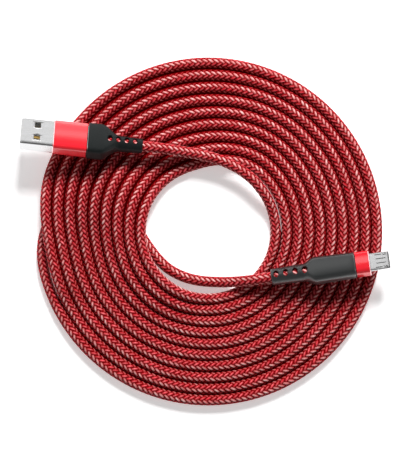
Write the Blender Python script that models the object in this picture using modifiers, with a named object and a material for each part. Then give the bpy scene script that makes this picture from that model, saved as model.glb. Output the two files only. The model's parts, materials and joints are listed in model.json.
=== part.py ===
"""Braided charging cable with a USB-A plug and a micro-USB plug, lying as a flat round coil.

Metres, +Z up. The coil lies on the plane z = 0 and both plugs lie on top of it. Each plug is
modelled along its own +X, which runs from the mouth of its boot, at x = 0, to its metal tip.
"""

import math

import bmesh
import bpy
from mathutils import Matrix, Vector

MM = 0.001
GAP = 0.3 * MM  # left between pieces that touch on the real cable

# The cord and its coil
CORD_D = 4.1 * MM
PITCH = 4.18 * MM  # from one turn of the coil to the next
TURNS = 10
FIRST_TURN_R = 25.0 * MM  # centreline of the innermost turn
COIL_CENTRE = (1.13 * MM, 0.0, 0.0)
COIL_STEPS = 96
HUMP_FLAT = 0.5 * CORD_D
HUMP_REACH = 22.0 * MM

# Where the outermost turn dives under the others and comes out in the coil's hole, x and y
TAIL_ROUTE = [
    (-61.2, -13.0), (-61.6, -6.0), (-60.0, 1.5), (-56.0, 8.2), (-49.8, 12.6), (-42.6, 14.0),
    (-36.0, 12.0), (-30.6, 7.2), (-26.6, 1.2), (-22.8, -4.8), (-18.7, -10.2), (-13.8, -14.6),
]
# The lead from the USB-A plug, over the turns, to where it comes down as the innermost turn
USB_A_ROUTE = [
    (-24.3, 31.4, 9.3), (-20.2, 31.0, 8.9), (-16.0, 30.5, 8.35), (-11.8, 29.9, 7.7),
    (-7.4, 29.2, 7.1), (-3.1, 28.4, 6.7), (1.2, 27.4, 6.5), (4.9, 26.2, 6.45),
    (8.4, 24.7, 6.45), (11.7, 22.9, 6.45), (14.6, 20.8, 6.45), (17.1, 18.6, 6.45),
]
# The lead to the micro-USB plug, from the coil's hole and up onto the turns
MICRO_ROUTE = [
    (-15.6, -13.2, 2.06), (-11.0, -16.0, 2.06), (-6.2, -17.7, 2.06), (-1.4, -18.5, 2.2),
    (3.2, -18.75, 2.8), (7.2, -18.75, 3.8), (10.6, -18.55, 5.0), (13.8, -18.25, 6.1),
    (17.0, -17.85, 6.9), (20.2, -17.4, 7.35), (23.4, -16.9, 7.65),
]

# Both plugs
BORE_R = 2.22 * MM  # of the boot, round the cord
BORE_WALL = 0.08 * MM
FERRULE_R = 2.45 * MM
JACKET_R = 1.5 * MM
WIRE_R = 0.4 * MM
WIRE_SPREAD = 0.6 * MM  # of each wire from the jacket's centre
WIRES = ("red", "white", "green", "black")

# USB-A plug: which way it lies, places along its axis, then sections as width and height
USB_A_HEADING = 174.1
USB_A_PITCH = 5.0
USB_A_ROLL = 38.0
USB_A_RELIEF = 8.5 * MM
USB_A_TAPER = 7.0 * MM
USB_A_BOOT = 20.2 * MM
USB_A_CHAMBER = 13.4 * MM
USB_A_FERRULE = (13.9 * MM, 16.1 * MM)
USB_A_CORD_END = 15.4 * MM
USB_A_JACKET = 17.6 * MM
USB_A_WIRES = (17.9 * MM, 25.1 * MM)
USB_A_MOULD = (19.0 * MM, 23.9 * MM)
USB_A_SLEEVE = (20.4 * MM, 33.0 * MM)
USB_A_SHELL = (24.2 * MM, 45.0 * MM)
USB_A_BLOCK = (26.5 * MM, 44.5 * MM)
USB_A_TONGUE = 33.4 * MM
USB_A_CONTACT_BACK = 25.4 * MM
USB_A_LONG_CONTACT = 43.2 * MM
USB_A_SHORT_CONTACT = 42.2 * MM
USB_A_RELIEF_SIZE = (5.8 * MM, 5.5 * MM)
USB_A_BOOT_SIZE = (13.7 * MM, 6.3 * MM)
USB_A_CHAMBER_SIZE = (11.8 * MM, 5.2 * MM)
USB_A_SLEEVE_SIZE = (13.2 * MM, 5.8 * MM)
USB_A_SLEEVE_WALL = 0.5 * MM
USB_A_SHELL_SIZE = (12.0 * MM, 4.5 * MM)
USB_A_SHELL_WALL = 0.3 * MM
USB_A_WINDOW_SIZE = (2.3 * MM, 2.4 * MM)
USB_A_WINDOW_FROM_TIP = 6.0 * MM
USB_A_WINDOW_Y = 2.95 * MM
USB_A_BLOCK_WIDTH = 10.9 * MM
USB_A_BLOCK_HALF_HEIGHT = 1.75 * MM
USB_A_TONGUE_TOP = -0.05 * MM
USB_A_CONTACT_Y = (-3.5 * MM, -1.0 * MM, 1.0 * MM, 3.5 * MM)
USB_A_CONTACT_WIDTH = 1.0 * MM
USB_A_CONTACT_Z = (-0.45 * MM, -0.15 * MM)
USB_A_HOLES = (2.9 * MM, 3.1 * MM, 1.5 * MM, 2.3 * MM)  # first, spacing, length, width

# Micro-USB plug, in the same order
MICRO_HEADING = 8.4
MICRO_PITCH = 4.5
MICRO_ROLL = -24.0
MICRO_RELIEF = 11.8 * MM
MICRO_TAPER = 4.6 * MM
MICRO_BOOT = 31.0 * MM
MICRO_CHAMBER = 17.0 * MM
MICRO_FERRULE = (17.6 * MM, 19.9 * MM)
MICRO_CORD_END = 19.2 * MM
MICRO_JACKET = 21.6 * MM
MICRO_WIRES = (21.9 * MM, 32.3 * MM)
MICRO_MOULD = (23.2 * MM, 32.0 * MM)
MICRO_RING = (31.2 * MM, 36.6 * MM)
MICRO_SHELL = (33.0 * MM, 43.9 * MM)
MICRO_INSERT = (33.2 * MM, 36.4 * MM)
MICRO_BLOCK = (33.3 * MM, 43.5 * MM)
MICRO_TONGUE = 37.6 * MM
MICRO_CONTACT = (32.6 * MM, 42.8 * MM)
MICRO_RELIEF_SIZE = (6.5 * MM, 6.1 * MM)
MICRO_SHOULDER_SIZE = (10.0 * MM, 6.8 * MM)
MICRO_BOOT_SIZE = (9.4 * MM, 6.4 * MM)
MICRO_CHAMBER_SIZE = (7.8 * MM, 5.2 * MM)
MICRO_RING_SIZE = (9.0 * MM, 6.0 * MM)
MICRO_RING_WALL = 0.6 * MM
MICRO_SHELL_SIZE = (6.85 * MM, 1.8 * MM)
MICRO_SHELL_WALL = 0.22 * MM
MICRO_SHELL_CHAMFER = 0.75 * MM
MICRO_SHELL_NICK = 0.3 * MM
MICRO_BLOCK_WIDTH = 4.7 * MM
MICRO_BLOCK_Z = (-0.6 * MM, 0.55 * MM)
MICRO_TONGUE_TOP = -0.12 * MM
MICRO_CONTACT_PITCH = 0.65 * MM
MICRO_CONTACT_WIDTH = 0.28 * MM
MICRO_CONTACT_Z = (-0.24 * MM, -0.06 * MM)
MICRO_HOLES = (1.9 * MM, 3.55 * MM, 1.7 * MM, 2.6 * MM)

# The micro-USB plug's sprung latches: place of the arm's root, and the arm from there
LATCH_Y = 2.5 * MM
LATCH_ROOT = (36.9 * MM, 0.48 * MM)
LATCH_WIDTH = 0.52 * MM
LATCH_HALF_THICKNESS = 0.09 * MM
LATCH_BACK = -0.35 * MM
LATCH_TIP = 5.7 * MM
LATCH_HOOK = (4.85 * MM, 5.35 * MM)  # where its top begins and ends
LATCH_HOOK_HEIGHT = 0.72 * MM
LATCH_NOSE = 0.25 * MM
LATCH_OPENING = (41.5 * MM, 42.9 * MM)
LATCH_OPENING_HALF = 0.42 * MM

# Turns what is drawn out along x to lie across it, with its x and y changed over
ACROSS = Matrix(((0, 1, 0), (-1, 0, 0), (0, 0, 1))).to_4x4()

COLOURS = {
    "braid": ((0.42, 0.012, 0.02), 0.85, 0.0),
    "steel": ((0.72, 0.72, 0.72), 0.3, 1.0),
    "red_aluminium": ((0.85, 0.01, 0.02), 0.32, 0.9),
    "boot_black": ((0.03, 0.035, 0.035), 0.5, 0.0),
    "insulator_white": ((0.85, 0.85, 0.82), 0.5, 0.0),
    "insulator_black": ((0.02, 0.02, 0.02), 0.5, 0.0),
    "mould_grey": ((0.35, 0.35, 0.35), 0.6, 0.0),
    "contact_gold": ((0.85, 0.6, 0.2), 0.25, 1.0),
    "jacket_grey": ((0.12, 0.12, 0.13), 0.6, 0.0),
    "wire_red": ((0.6, 0.02, 0.02), 0.5, 0.0),
    "wire_white": ((0.85, 0.85, 0.85), 0.5, 0.0),
    "wire_green": ((0.02, 0.35, 0.06), 0.5, 0.0),
    "wire_black": ((0.02, 0.02, 0.02), 0.5, 0.0),
}


# ---------------------------------------------------------------- scene and objects

def clear_scene():
    for obj in list(bpy.data.objects):
        bpy.data.objects.remove(obj)


def new_collection(name):
    made = bpy.data.collections.new(name)
    bpy.context.scene.collection.children.link(made)
    return made


def material(name):
    found = bpy.data.materials.get(name)
    if found:
        return found
    colour, roughness, metallic = COLOURS[name]
    made = bpy.data.materials.new(name)
    made.use_nodes = True
    shader = made.node_tree.nodes["Principled BSDF"]
    shader.inputs["Base Color"].default_value = (*colour, 1.0)
    shader.inputs["Roughness"].default_value = roughness
    shader.inputs["Metallic"].default_value = metallic
    return made


def empty(name, parent=None, matrix=None):
    made = bpy.data.objects.new(name, None)
    made.empty_display_size = 5 * MM
    PARTS.objects.link(made)
    made.parent = parent
    made.matrix_basis = matrix or Matrix()
    return made


def part(name, mesh, finish, parent):
    """A piece of the cable, smooth shaded but for its corners."""
    mesh.name = name
    mesh.materials.clear()
    mesh.materials.append(material(finish))
    mesh.shade_smooth()
    mesh.set_sharp_from_angle(angle=math.radians(35))
    made = bpy.data.objects.new(name, mesh)
    PARTS.objects.link(made)
    made.parent = parent
    return made


def cut(target, mesh):
    """Takes the shape of this mesh, given in the target's own frame, out of the target."""
    cutter = bpy.data.objects.new(target.name + "_cutter", mesh)
    CUTTERS.objects.link(cutter)
    cutter.parent = target.parent
    cutter.hide_render = True
    cutter.display_type = "WIRE"
    boolean = target.modifiers.new("cut", "BOOLEAN")
    boolean.object = cutter


def bevel(target, width, segments=2):
    edge = target.modifiers.new("edges", "BEVEL")
    edge.width = width
    edge.segments = segments
    edge.limit_method = "ANGLE"
    edge.angle_limit = math.radians(50)


# ---------------------------------------------------------------- meshes along +X

def mesh_from(bm, name="shape"):
    bmesh.ops.recalc_face_normals(bm, faces=bm.faces)
    mesh = bpy.data.meshes.new(name)
    bm.to_mesh(mesh)
    bm.free()
    return mesh


def rounded(width, height, radius, steps=5):
    """Points (y, z) round a rectangle with round corners, anticlockwise."""
    radius = min(radius, 0.499 * width, 0.499 * height)
    points = []
    corners = ((1, 1, 0), (-1, 1, 90), (-1, -1, 180), (1, -1, 270))
    for side, level, start in corners:
        for i in range(steps + 1):
            angle = math.radians(start + 90 * i / steps)
            y = side * (width / 2 - radius) + radius * math.cos(angle)
            z = level * (height / 2 - radius) + radius * math.sin(angle)
            points.append((y, z))
    return points


def micro_section(inset=0.0):
    """The micro-USB shell's outline: flat on top, with its two lower corners cut away."""
    half_width = MICRO_SHELL_SIZE[0] / 2 - inset
    half_height = MICRO_SHELL_SIZE[1] / 2 - inset
    chamfer = MICRO_SHELL_CHAMFER - 0.4 * inset
    nick = MICRO_SHELL_NICK - 0.5 * inset
    return [
        (half_width, half_height - nick),
        (half_width - nick, half_height),
        (-half_width + nick, half_height),
        (-half_width, half_height - nick),
        (-half_width, -half_height + chamfer),
        (-half_width + chamfer, -half_height),
        (half_width - chamfer, -half_height),
        (half_width, -half_height + chamfer),
    ]


def prism(loops, start, end):
    """A flat outline, with any holes in it, drawn out along x from start to end."""
    curve = bpy.data.curves.new("outline", "CURVE")
    curve.dimensions = "2D"
    curve.fill_mode = "BOTH"
    curve.extrude = (end - start) / 2
    for loop in loops:
        spline = curve.splines.new("POLY")
        spline.points.add(len(loop) - 1)
        for point, (y, z) in zip(spline.points, loop):
            point.co = (y, z, 0, 1)
        spline.use_cyclic_u = True
    mesh = mesh_of_curve(curve)
    along_x = Matrix(((0, 0, 1), (1, 0, 0), (0, 1, 0))).to_4x4()
    mesh.transform(Matrix.Translation(((start + end) / 2, 0, 0)) @ along_x)
    return mesh


def mesh_of_curve(curve):
    """A curve as a closed mesh, with its caps welded on."""
    holder = bpy.data.objects.new("curve", curve)
    CUTTERS.objects.link(holder)
    graph = bpy.context.evaluated_depsgraph_get()
    mesh = bpy.data.meshes.new_from_object(holder.evaluated_get(graph), depsgraph=graph)
    bpy.data.objects.remove(holder)
    bm = bmesh.new()
    bm.from_mesh(mesh)
    bmesh.ops.remove_doubles(bm, verts=bm.verts, dist=1e-6)
    bpy.data.meshes.remove(mesh)
    return mesh_from(bm)


def box(low, high):
    bm = bmesh.new()
    size = Vector(high) - Vector(low)
    middle = (Vector(high) + Vector(low)) / 2
    place = Matrix.Translation(middle) @ Matrix.Diagonal((*size, 1.0))
    bmesh.ops.create_cube(bm, size=1.0, matrix=place)
    return mesh_from(bm)


def rod(start, end, radius, sides=20):
    """A round bar along x."""
    bm = bmesh.new()
    place = Matrix.Translation(((start + end) / 2, 0, 0)) @ Matrix.Rotation(math.pi / 2, 4, "Y")
    bmesh.ops.create_cone(
        bm, cap_ends=True, segments=sides, radius1=radius, radius2=radius,
        depth=end - start, matrix=place,
    )
    return mesh_from(bm)


def loft(sections):
    """A closed skin over (x, width, height, corner radius) sections."""
    bm = bmesh.new()
    rings = []
    for x, width, height, radius in sections:
        outline = rounded(width, height, radius)
        rings.append([bm.verts.new((x, y, z)) for y, z in outline])
    for ring, after in zip(rings, rings[1:]):
        for i in range(len(ring)):
            j = (i + 1) % len(ring)
            bm.faces.new((ring[i], ring[j], after[j], after[i]))
    bm.faces.new(rings[0])
    bm.faces.new(rings[-1])
    return mesh_from(bm)


def tube(points, radius, resolution=2):
    """A round wire through these points, with its ends closed."""
    curve = bpy.data.curves.new("wire", "CURVE")
    curve.dimensions = "3D"
    curve.bevel_depth = radius
    curve.bevel_resolution = resolution
    curve.use_fill_caps = True
    spline = curve.splines.new("POLY")
    spline.points.add(len(points) - 1)
    for knot, place in zip(spline.points, points):
        knot.co = (*place, 1)
    return mesh_of_curve(curve)


def smooth_step(t):
    t = min(max(t, 0.0), 1.0)
    return t * t * (3 - 2 * t)


def blend(a, b, t):
    return a + (b - a) * smooth_step(t)


def smooth_route(route, spacing):
    """Points this far apart on a Catmull-Rom curve through a route given in millimetres."""
    knots = [Vector(point) * MM for point in route]
    before = 2 * knots[0] - knots[1]
    after = 2 * knots[-1] - knots[-2]
    held = [before, *knots, after]
    fine = []
    per_span = 12
    for i in range(1, len(held) - 2):
        a, b, c, d = held[i - 1 : i + 3]
        for k in range(per_span):
            t = k / per_span
            fine.append(
                0.5 * (2 * b + (c - a) * t + (2 * a - 5 * b + 4 * c - d) * t * t
                       + (3 * b - a - 3 * c + d) * t ** 3)
            )
    fine.append(knots[-1])
    kept = [fine[0]]
    for point in fine[1:-1]:
        if (point - kept[-1]).length >= spacing:
            kept.append(point)
    if (fine[-1] - kept[-1]).length < 0.5 * spacing:
        kept.pop()
    return kept + [fine[-1]]


# ---------------------------------------------------------------- cord

def lift(x, y):
    """How far the turns are raised here to pass over the hidden tail of the cord."""
    here = Vector((x, y, 0))
    near = min((here - point).length for point in TAIL)
    fall = min(max((near - HUMP_FLAT) / (HUMP_REACH - HUMP_FLAT), 0.0), 1.0)
    return CORD_D * math.cos(0.5 * math.pi * fall) ** 2


def coil():
    """The turns of the coil as one ring with round edges and a hump over the tail."""
    cord_r = CORD_D / 2
    last_turn_r = FIRST_TURN_R + (TURNS - 1) * PITCH
    edge = [math.radians(-90 + 180 * i / 6) for i in range(7)]
    profile = [(last_turn_r + cord_r * math.cos(a), cord_r + cord_r * math.sin(a)) for a in reversed(edge)]
    across = [FIRST_TURN_R + PITCH * i for i in range(TURNS - 2, 0, -1)]
    profile = [(r, CORD_D) for r in reversed(across)] + profile
    profile += [(FIRST_TURN_R - cord_r * math.cos(a), cord_r + cord_r * math.sin(a)) for a in edge]
    bm = bmesh.new()
    corners = [bm.verts.new((r, 0, z)) for r, z in profile]
    for a, b in zip(corners, corners[1:] + corners[:1]):
        bm.edges.new((a, b))
    outline = bpy.data.meshes.new("coil_profile")
    bm.to_mesh(outline)
    bm.free()
    holder = bpy.data.objects.new("coil_profile", outline)
    CUTTERS.objects.link(holder)
    turn = holder.modifiers.new("turn", "SCREW")
    turn.steps = COIL_STEPS
    turn.render_steps = COIL_STEPS
    turn.use_merge_vertices = True
    turn.merge_threshold = 0.00001
    graph = bpy.context.evaluated_depsgraph_get()
    mesh = bpy.data.meshes.new_from_object(holder.evaluated_get(graph), depsgraph=graph)
    bpy.data.objects.remove(holder)
    for vertex in mesh.vertices:
        share = min(max(vertex.co.z / CORD_D, 0.0), 1.0)
        vertex.co.z += share * lift(vertex.co.x, vertex.co.y)
    part("cord_coil", mesh, "braid", CABLE)


def leads():
    spacing = 2.2 * CORD_D
    usb_a = smooth_route(USB_A_ROUTE, spacing)
    micro = smooth_route(MICRO_ROUTE, spacing)
    usb_a[0] += (usb_a[1] - usb_a[0]).normalized() * GAP
    micro[-1] += (micro[-2] - micro[-1]).normalized() * GAP
    part("cord_usb_a_lead", tube(usb_a, CORD_D / 2), "braid", CABLE)
    part("cord_micro_lead", tube(micro, CORD_D / 2), "braid", CABLE)


# ---------------------------------------------------------------- what both plugs have

def plug_frame(name, exit_point, heading, pitch, roll):
    """An empty at the mouth of a plug's boot, with +X towards the plug's tip."""
    turn = (
        Matrix.Rotation(math.radians(heading), 4, "Z")
        @ Matrix.Rotation(math.radians(-pitch), 4, "Y")
        @ Matrix.Rotation(math.radians(roll), 4, "X")
    )
    return empty(name, CABLE, Matrix.Translation(Vector(exit_point) * MM) @ turn)


def relief_holes(target, first, spacing, length, width):
    """Four oval holes through the top and the bottom of a strain relief, into its bore."""
    reach = 6 * BORE_R
    for i in range(4):
        x = first + spacing * i
        bm = bmesh.new()
        bmesh.ops.create_cone(
            bm, cap_ends=True, segments=14, radius1=0.5, radius2=0.5, depth=1.0,
            matrix=Matrix.Translation((x, 0, 0)) @ Matrix.Diagonal((length, width, reach, 1)),
        )
        cut(target, mesh_from(bm))


def boot_inside(target, chamber_start, chamber_size, front):
    """The bore for the cord and, in front of it, the chamber round the wires."""
    cut(target, rod(-MM, chamber_start + 0.5 * MM, BORE_R, 24))
    cut(target, prism([rounded(*chamber_size, 0.8 * MM)], chamber_start, front + MM))


def cord_end(prefix, plug, cord_to, ferrule, jacket_to):
    """The cord inside the boot: its braid, the ferrule crimped on it and the stripped jacket."""
    braid_from = 0.2 * MM
    part(prefix + "cord_end", rod(braid_from, cord_to, CORD_D / 2, 16), "braid", plug)
    ring = part(prefix + "crimp_ring", rod(*ferrule, FERRULE_R, 24), "steel", plug)
    cut(ring, rod(ferrule[0] - MM, ferrule[1] + MM, BORE_R - BORE_WALL, 24))
    jacket = rod(cord_to + GAP, jacket_to, JACKET_R, 16)
    part(prefix + "inner_jacket", jacket, "jacket_grey", plug)


def wires(prefix, plug, start, end, ends_y, z):
    """Four insulated wires that fan out from the jacket to the backs of the contacts."""
    bundle = ((-1, -1), (-1, 1), (1, -1), (1, 1))
    steps = 8
    for colour, (across, up), y_end in zip(WIRES, bundle, ends_y):
        route = []
        for i in range(steps + 1):
            t = i / steps
            y = blend(across * WIRE_SPREAD, y_end, t)
            route.append((start + (end - start) * t, y, blend(up * WIRE_SPREAD, z, t)))
        part(prefix + "wire_" + colour, tube(route, WIRE_R, 1), "wire_" + colour, plug)


def frame_prism(outer, outer_radius, inner, inner_radius, span, steps=(3, 3)):
    """A tube with a rectangular section and round corners, over this span of x."""
    loops = [rounded(*outer, outer_radius, steps[0]), rounded(*inner, inner_radius, steps[1])]
    return prism(loops, *span)


def inner_size(size, wall):
    return size[0] - 2 * wall, size[1] - 2 * wall


# ---------------------------------------------------------------- USB-A plug

def usb_a_boot(plug):
    width, height = USB_A_BOOT_SIZE
    relief_width, relief_height = USB_A_RELIEF_SIZE
    relief_corner, corner = 2.6 * MM, 1.3 * MM
    sections = [
        (0.0, 4.9 * MM, 4.9 * MM, 2.45 * MM),
        (0.35 * MM, 5.4 * MM, 5.3 * MM, relief_corner),
        (USB_A_RELIEF, relief_width, relief_height, relief_corner),
    ]
    steps = 8
    for i in range(1, steps + 1):
        t = i / steps
        x = USB_A_RELIEF + USB_A_TAPER * t
        section = (blend(relief_width, width, t), blend(relief_height, height, t))
        sections.append((x, *section, blend(relief_corner, corner, t)))
    sections.append((USB_A_BOOT, width, height, 1.2 * MM))
    boot = part("usb_a_boot", loft(sections), "boot_black", plug)
    relief_holes(boot, *USB_A_HOLES)
    boot_inside(boot, USB_A_CHAMBER, USB_A_CHAMBER_SIZE, USB_A_BOOT)


def usb_a_shell(plug):
    """The stamped shell, with two spring windows in its top and two in its bottom."""
    inside = inner_size(USB_A_SHELL_SIZE, USB_A_SHELL_WALL)
    mesh = frame_prism(USB_A_SHELL_SIZE, 0.5 * MM, inside, 0.25 * MM, USB_A_SHELL)
    shell = part("usb_a_shell", mesh, "steel", plug)
    height = USB_A_SHELL_SIZE[1]
    half = (0.5 * USB_A_WINDOW_SIZE[0], 0.5 * USB_A_WINDOW_SIZE[1])
    x = USB_A_SHELL[1] - USB_A_WINDOW_FROM_TIP
    for y in (-USB_A_WINDOW_Y, USB_A_WINDOW_Y):
        cut(shell, box((x - half[0], y - half[1], -height), (x + half[0], y + half[1], height)))


def usb_a_insulator(plug):
    """The white block with the tongue, and channels for the four contacts."""
    back, tip = USB_A_BLOCK
    top = USB_A_TONGUE_TOP
    side = [
        (back, -USB_A_BLOCK_HALF_HEIGHT), (tip, -USB_A_BLOCK_HALF_HEIGHT), (tip, top),
        (USB_A_TONGUE, top), (USB_A_TONGUE, USB_A_BLOCK_HALF_HEIGHT), (back, USB_A_BLOCK_HALF_HEIGHT),
    ]
    mesh = prism([side], -USB_A_BLOCK_WIDTH / 2, USB_A_BLOCK_WIDTH / 2)
    mesh.transform(ACROSS)
    block = part("usb_a_insulator", mesh, "insulator_white", plug)
    half = USB_A_CONTACT_WIDTH / 2 + 0.25 * MM
    channel_end = USB_A_LONG_CONTACT + 0.4 * MM
    for y in USB_A_CONTACT_Y:
        low = (back - MM, y - half, top - 0.5 * MM)
        cut(block, box(low, (channel_end, y + half, top + 0.45 * MM)))


def usb_a_contacts(plug):
    names = ("vbus", "data_minus", "data_plus", "ground")
    half = USB_A_CONTACT_WIDTH / 2
    low, high = USB_A_CONTACT_Z
    for name, y in zip(names, USB_A_CONTACT_Y):
        front = USB_A_LONG_CONTACT if name in ("vbus", "ground") else USB_A_SHORT_CONTACT
        strip = box((USB_A_CONTACT_BACK, y - half, low), (front, y + half, high))
        part("usb_a_contact_" + name, strip, "contact_gold", plug)


def usb_a_plug():
    plug = plug_frame("usb_a_plug", USB_A_ROUTE[0], USB_A_HEADING, USB_A_PITCH, USB_A_ROLL)
    usb_a_boot(plug)
    inside = inner_size(USB_A_SLEEVE_SIZE, USB_A_SLEEVE_WALL)
    mesh = frame_prism(USB_A_SLEEVE_SIZE, 1.0 * MM, inside, 0.6 * MM, USB_A_SLEEVE, (6, 4))
    bevel(part("usb_a_sleeve", mesh, "red_aluminium", plug), 0.15 * MM, 1)
    usb_a_shell(plug)
    usb_a_insulator(plug)
    usb_a_contacts(plug)
    mould = frame_prism((11.4 * MM, 4.5 * MM), 0.8 * MM, (9.4 * MM, 2.9 * MM), 0.5 * MM, USB_A_MOULD)
    part("usb_a_inner_mould", mould, "mould_grey", plug)
    cord_end("usb_a_", plug, USB_A_CORD_END, USB_A_FERRULE, USB_A_JACKET)
    wires("usb_a_", plug, *USB_A_WIRES, USB_A_CONTACT_Y, sum(USB_A_CONTACT_Z) / 2)


# ---------------------------------------------------------------- micro-USB plug

def micro_boot(plug):
    width, height = MICRO_SHOULDER_SIZE
    relief_width, relief_height = MICRO_RELIEF_SIZE
    relief_corner, corner = 3.0 * MM, 2.2 * MM
    sections = [
        (0.0, 5.5 * MM, 5.5 * MM, 2.7 * MM),
        (0.4 * MM, 6.1 * MM, 5.9 * MM, 2.9 * MM),
        (MICRO_RELIEF, relief_width, relief_height, relief_corner),
    ]
    steps = 7
    for i in range(1, steps + 1):
        t = i / steps
        x = MICRO_RELIEF + MICRO_TAPER * t
        section = (blend(relief_width, width, t), blend(relief_height, height, t))
        sections.append((x, *section, blend(relief_corner, corner, t)))
    sections.append((MICRO_BOOT, *MICRO_BOOT_SIZE, 1.5 * MM))
    boot = part("micro_boot", loft(sections), "boot_black", plug)
    relief_holes(boot, *MICRO_HOLES)
    boot_inside(boot, MICRO_CHAMBER, MICRO_CHAMBER_SIZE, MICRO_BOOT)


def micro_shell(plug):
    """The stamped shell, with an opening in its top for each latch's hook."""
    loops = [micro_section(), micro_section(MICRO_SHELL_WALL)]
    shell = part("micro_shell", prism(loops, *MICRO_SHELL), "steel", plug)
    start, end = LATCH_OPENING
    for y in (-LATCH_Y, LATCH_Y):
        low = (start, y - LATCH_OPENING_HALF, 0.2 * MM)
        cut(shell, box(low, (end, y + LATCH_OPENING_HALF, 1.5 * MM)))


def micro_insulator(plug):
    """The black block with a thin tongue, and channels for the contacts and the latches."""
    back, tip = MICRO_BLOCK
    floor, roof = MICRO_BLOCK_Z
    half_width = MICRO_BLOCK_WIDTH / 2
    mesh = box((back, -half_width, floor), (tip, half_width, roof))
    block = part("micro_insulator", mesh, "insulator_black", plug)
    past = tip + 0.5 * MM
    above = roof + 0.45 * MM
    low = (MICRO_TONGUE, -MICRO_BLOCK_WIDTH, MICRO_TONGUE_TOP)
    cut(block, box(low, (past, MICRO_BLOCK_WIDTH, above)))
    half = MICRO_CONTACT_WIDTH / 2 + 0.08 * MM
    for y in micro_contact_places():
        low = (back - GAP, y - half, MICRO_CONTACT_Z[0] - 0.06 * MM)
        cut(block, box(low, (MICRO_CONTACT[1] + GAP, y + half, -MICRO_TONGUE_TOP)))
    for y in (-LATCH_Y, LATCH_Y):
        half = LATCH_WIDTH / 2 + 0.29 * MM
        cut(block, box((back - GAP, y - half, -0.35 * MM), (past, y + half, above)))


def micro_contact_places():
    return [(i - 2) * MICRO_CONTACT_PITCH for i in range(5)]


def micro_contacts(plug):
    names = ("vbus", "data_minus", "data_plus", "id", "ground")
    back, front = MICRO_CONTACT
    half = MICRO_CONTACT_WIDTH / 2
    low, high = MICRO_CONTACT_Z
    for name, y in zip(names, micro_contact_places()):
        strip = box((back, y - half, low), (front, y + half, high))
        part("micro_contact_" + name, strip, "contact_gold", plug)


def micro_latch(plug, name, y):
    """A spring arm that turns about its root, with a hook that stands out of the shell's top."""
    root_x, root_z = LATCH_ROOT
    pivot = empty(name + "_pivot", plug, Matrix.Translation((root_x, y, root_z)))
    half = LATCH_HALF_THICKNESS
    hook_start, hook_end = LATCH_HOOK
    arm = [
        (LATCH_BACK, -half), (LATCH_TIP, -half), (LATCH_TIP, LATCH_NOSE),
        (hook_end, LATCH_HOOK_HEIGHT), (hook_start, LATCH_HOOK_HEIGHT),
        (hook_start, half), (LATCH_BACK, half),
    ]
    mesh = prism([arm], -LATCH_WIDTH / 2, LATCH_WIDTH / 2)
    mesh.transform(ACROSS)
    part(name, mesh, "steel", pivot)


def micro_plug():
    plug = plug_frame("micro_plug", MICRO_ROUTE[-1], MICRO_HEADING, MICRO_PITCH, MICRO_ROLL)
    micro_boot(plug)
    inside = inner_size(MICRO_RING_SIZE, MICRO_RING_WALL)
    mesh = frame_prism(MICRO_RING_SIZE, 1.4 * MM, inside, 0.9 * MM, MICRO_RING, (6, 4))
    bevel(part("micro_ring", mesh, "red_aluminium", plug), 0.15 * MM, 1)
    micro_shell(plug)
    micro_insulator(plug)
    micro_contacts(plug)
    micro_latch(plug, "micro_latch_left", LATCH_Y)
    micro_latch(plug, "micro_latch_right", -LATCH_Y)
    outside = inner_size(MICRO_RING_SIZE, MICRO_RING_WALL + 0.2 * MM)
    slot = (7.1 * MM, 2.05 * MM)
    insert = frame_prism(outside, 0.7 * MM, slot, 0.15 * MM, MICRO_INSERT, (3, 2))
    part("micro_front_insert", insert, "insulator_black", plug)
    mould = frame_prism((7.1 * MM, 4.1 * MM), 0.8 * MM, (5.2 * MM, 2.9 * MM), 0.5 * MM, MICRO_MOULD)
    part("micro_inner_mould", mould, "mould_grey", plug)
    cord_end("micro_", plug, MICRO_CORD_END, MICRO_FERRULE, MICRO_JACKET)
    ends_y = (-1.3 * MM, -0.43 * MM, 0.43 * MM, 1.3 * MM)
    wires("micro_", plug, *MICRO_WIRES, ends_y, sum(MICRO_CONTACT_Z) / 2)


clear_scene()
PARTS = new_collection("charging_cable")
CUTTERS = new_collection("cutters")
CABLE = empty("cable", matrix=Matrix.Translation(COIL_CENTRE))
TAIL = smooth_route([(x, y, 0.0) for x, y in TAIL_ROUTE], MM)
coil()
leads()
usb_a_plug()
micro_plug()
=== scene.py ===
"""Looks of the braided charging cable: the woven cord along its real coil, both plugs and the studio."""
import json
import math

import bmesh
import bpy
import numpy as np
from mathutils import Matrix, Vector


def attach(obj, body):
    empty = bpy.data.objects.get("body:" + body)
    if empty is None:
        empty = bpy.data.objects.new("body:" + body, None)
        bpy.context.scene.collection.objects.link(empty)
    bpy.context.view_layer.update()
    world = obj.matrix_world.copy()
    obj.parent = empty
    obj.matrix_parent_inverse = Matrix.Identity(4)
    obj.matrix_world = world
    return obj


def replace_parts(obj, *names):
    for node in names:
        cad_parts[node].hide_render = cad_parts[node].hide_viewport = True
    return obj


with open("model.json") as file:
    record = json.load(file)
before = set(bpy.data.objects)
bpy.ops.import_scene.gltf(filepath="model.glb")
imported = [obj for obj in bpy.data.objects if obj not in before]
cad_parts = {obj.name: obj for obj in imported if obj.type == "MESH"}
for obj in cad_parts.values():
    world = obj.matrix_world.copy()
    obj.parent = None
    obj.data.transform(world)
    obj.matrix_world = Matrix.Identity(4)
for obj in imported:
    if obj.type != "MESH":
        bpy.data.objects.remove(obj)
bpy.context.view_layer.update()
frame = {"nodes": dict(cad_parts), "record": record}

MM = 0.001

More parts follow.
